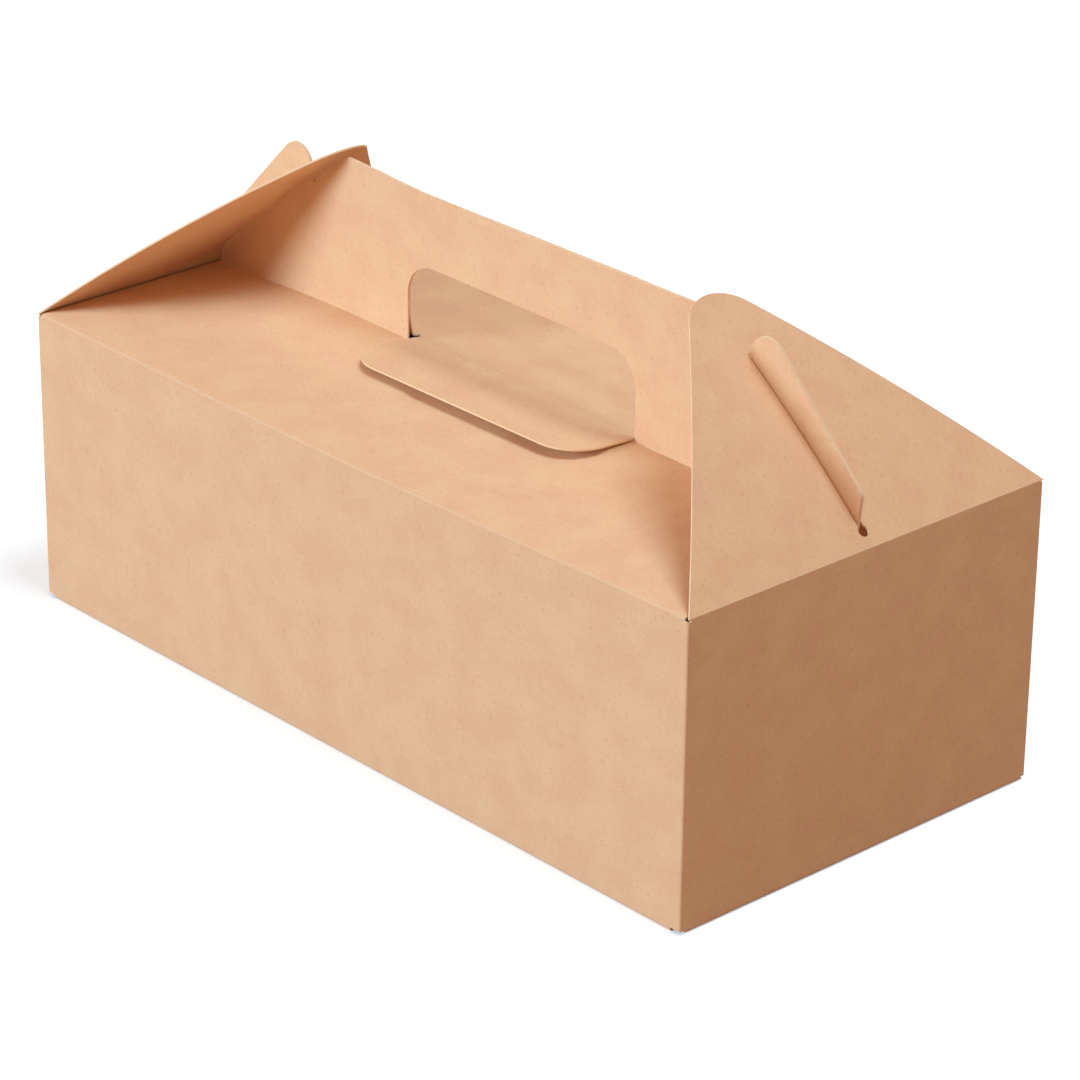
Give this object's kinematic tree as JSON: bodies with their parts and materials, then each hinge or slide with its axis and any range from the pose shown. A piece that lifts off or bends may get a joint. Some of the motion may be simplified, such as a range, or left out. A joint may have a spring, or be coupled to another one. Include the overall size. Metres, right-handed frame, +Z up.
{
  "type": "box with handle",
  "caption": "Rectangular kraft board carry carton folded from a single sheet, with a raised hand-hole handle, a lock-bottom base and gable flaps that hook over the handle's wings.",
  "frame": {"origin": "middle of the base, on the surface that the carton stands on", "axes": "+X along the carton's length to its right end, +Y from its front wall to its rear wall, +Z up"},
  "size_m": [0.3, 0.146, 0.1562],
  "materials": {
    "kraft_board": "uncoated kraft board, matt, fine fibres",
    "kraft_board_flap": "uncoated kraft board, matt, fine fibres"
  },
  "bodies": {
    "carton": {"folded_carton": "kraft_board"},
    "left_gable": {"left_gable_flap": "kraft_board_flap"},
    "right_gable": {"right_gable_flap": "kraft_board_flap"}
  },
  "joints": [
    {"name": "left_gable_hinge", "type": "hinge", "parent": "carton", "child": "left_gable", "pos_m": [-0.1497, 0, 0.0997], "axis": [0, -1, 0], "range_deg": [0, 135]},
    {"name": "right_gable_hinge", "type": "hinge", "parent": "carton", "child": "right_gable", "pos_m": [0.1497, 0, 0.0997], "axis": [0, 1, 0], "range_deg": [0, 135]}
  ]
}
